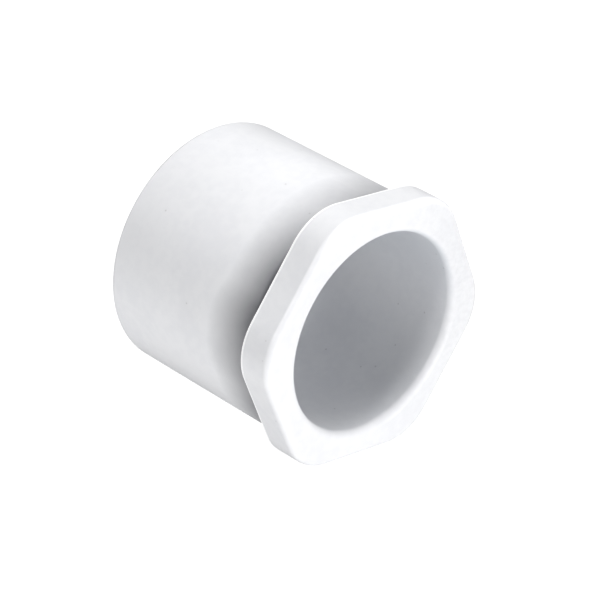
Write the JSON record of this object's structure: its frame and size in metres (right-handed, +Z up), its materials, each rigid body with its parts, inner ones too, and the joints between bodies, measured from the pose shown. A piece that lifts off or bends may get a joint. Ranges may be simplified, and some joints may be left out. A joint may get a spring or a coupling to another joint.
{
  "type": "reducing coupling",
  "caption": "One-piece white plastic reducing coupling (bushing): a plain spigot that glues into a larger fitting, and a hexagonal head with a socket for a smaller pipe.",
  "frame": {"origin": "on the bore's axis, in the plane of the shoulder where the spigot meets the head", "axes": "+X along the bore and out of the socket's mouth; +Z up, square to the two level sides of the hexagonal head; the part lies on the lower one"},
  "size_m": [0.0388, 0.0466, 0.043],
  "materials": {
    "white_plastic": "satin"
  },
  "bodies": {
    "root": {"bushing_body": "white_plastic"}
  },
  "joints": []
}
